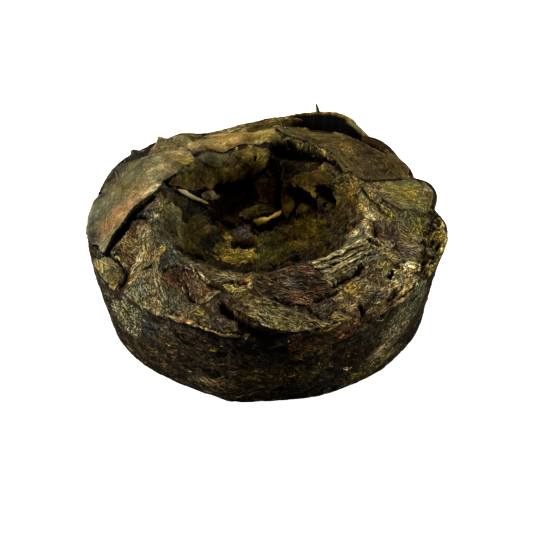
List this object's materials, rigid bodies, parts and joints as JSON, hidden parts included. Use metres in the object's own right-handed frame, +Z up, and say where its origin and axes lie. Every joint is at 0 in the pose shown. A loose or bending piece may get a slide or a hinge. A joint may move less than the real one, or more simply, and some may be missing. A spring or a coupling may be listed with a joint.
{
  "type": "mini tuocha of pressed tea",
  "caption": "Small nest-shaped cake of pressed tea leaves with a round hollow in its top, flaky leaf scraps on its crown and a smooth tapering side.",
  "frame": {"origin": "middle of the small flat foot on the underside", "axes": "+Z up, out of the hollow's mouth; -Y towards the side that shows in front; +X to the right seen from the front"},
  "size_m": [0.0301, 0.0297, 0.0133],
  "materials": {
    "pressed_tea": "matte"
  },
  "bodies": {
    "root": {"tea_nest": "pressed_tea"}
  },
  "joints": []
}
